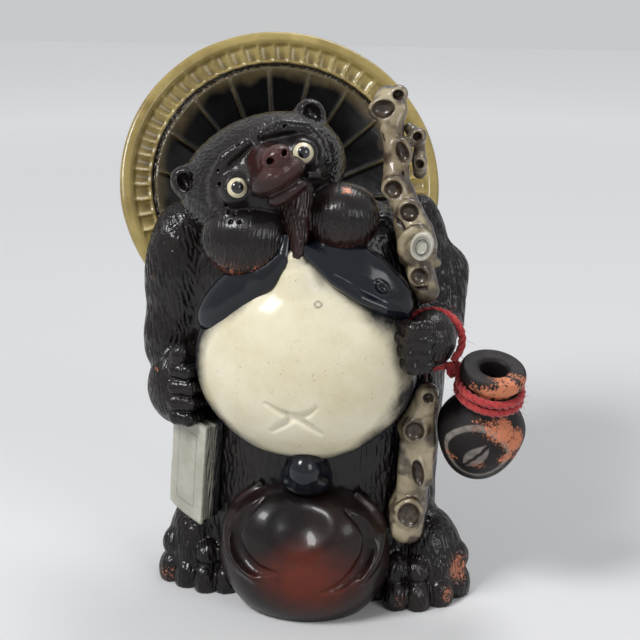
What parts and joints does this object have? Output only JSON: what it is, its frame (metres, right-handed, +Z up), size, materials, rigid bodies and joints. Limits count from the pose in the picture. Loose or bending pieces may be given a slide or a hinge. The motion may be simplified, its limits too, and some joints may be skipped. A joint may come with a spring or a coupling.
{
  "type": "tanuki statue",
  "caption": "Hollow glazed clay raccoon-dog figure with a round hat, gnarled staff, account book and a flask that hangs on a cord from its left hand.",
  "frame": {"origin": "centre of the trunk's open base, on the surface that the statue stands on", "axes": "+Z up, -Y forward, the way the statue faces, +X towards the statue's own left side"},
  "size_m": [0.2588, 0.1796, 0.3365],
  "materials": {
    "dark_glaze": "semi-gloss near-black glaze over combed hair, worn to orange clay at edges",
    "cream_glaze": "satin cream glaze with fine pits",
    "brown_glaze": "semi-gloss red-brown glaze",
    "red_brown_glaze": "semi-gloss black glaze fading to red-brown",
    "lapel_glaze": "smooth gloss blue-black glaze",
    "eye_glaze": "gloss cream enamel",
    "pupil_glaze": "gloss black enamel",
    "hat_lining_glaze": "gloss black glaze over thin raised ribs",
    "gold_glaze": "satin gold wash over a pleated rim",
    "staff_glaze": "satin beige and gold wash over dark glaze",
    "seal_glaze": "satin silver-beige glaze",
    "cover_glaze": "satin grey-cream glaze",
    "page_glaze": "satin dark glaze with scored page lines",
    "matt_clay": "matt black-brown wash, worn to orange clay",
    "red_cord": "twisted red cotton cord"
  },
  "bodies": {
    "statue": {"trunk_front": "dark_glaze", "trunk_back": "dark_glaze", "belly": "cream_glaze", "head": "dark_glaze", "muzzle": "brown_glaze", "nose": "brown_glaze", "lower_jaw": "brown_glaze", "throat": "dark_glaze", "right_cheek": "dark_glaze", "left_cheek": "dark_glaze", "right_eye": "eye_glaze", "left_eye": "eye_glaze", "right_pupil": "pupil_glaze", "left_pupil": "pupil_glaze", "right_brow": "dark_glaze", "left_brow": "dark_glaze", "right_ear": "dark_glaze", "left_ear": "dark_glaze", "right_lapel": "lapel_glaze", "left_lapel": "lapel_glaze", "right_arm": "dark_glaze", "left_arm": "dark_glaze", "right_hand": "dark_glaze", "left_hand": "dark_glaze", "hat_crown": "hat_lining_glaze", "hat_rim": "gold_glaze", "upper_staff": "staff_glaze", "lower_staff": "staff_glaze", "staff_twig": "staff_glaze", "staff_seal": "seal_glaze", "book_pages": "page_glaze", "book_cover": "cover_glaze", "pouch": "red_brown_glaze", "pouch_knob": "dark_glaze", "right_foot": "dark_glaze", "left_foot": "dark_glaze", "tail": "dark_glaze"},
    "sling": {"cord_loop": "red_cord"},
    "hanger": {"cord_knot": "red_cord", "cord_collar": "red_cord"},
    "flask": {"flask": "matt_clay"}
  },
  "joints": [
    {"name": "cord_swing", "type": "hinge", "parent": "statue", "child": "sling", "pos_m": [0.0756, -0.03348, 0.17222], "axis": [0, -1, 0], "range_deg": [0, 35]},
    {"name": "flask_rock", "type": "hinge", "parent": "sling", "child": "hanger", "pos_m": [0.08853, -0.03348, 0.15443], "axis": [1, 0, 0], "range_deg": [-15, 15]},
    {"name": "flask_spin", "type": "hinge", "parent": "hanger", "child": "flask", "pos_m": [0.11043, -0.03889, 0.14366], "axis": [0.1428, -0.2588, 0.9553], "continuous": true}
  ]
}
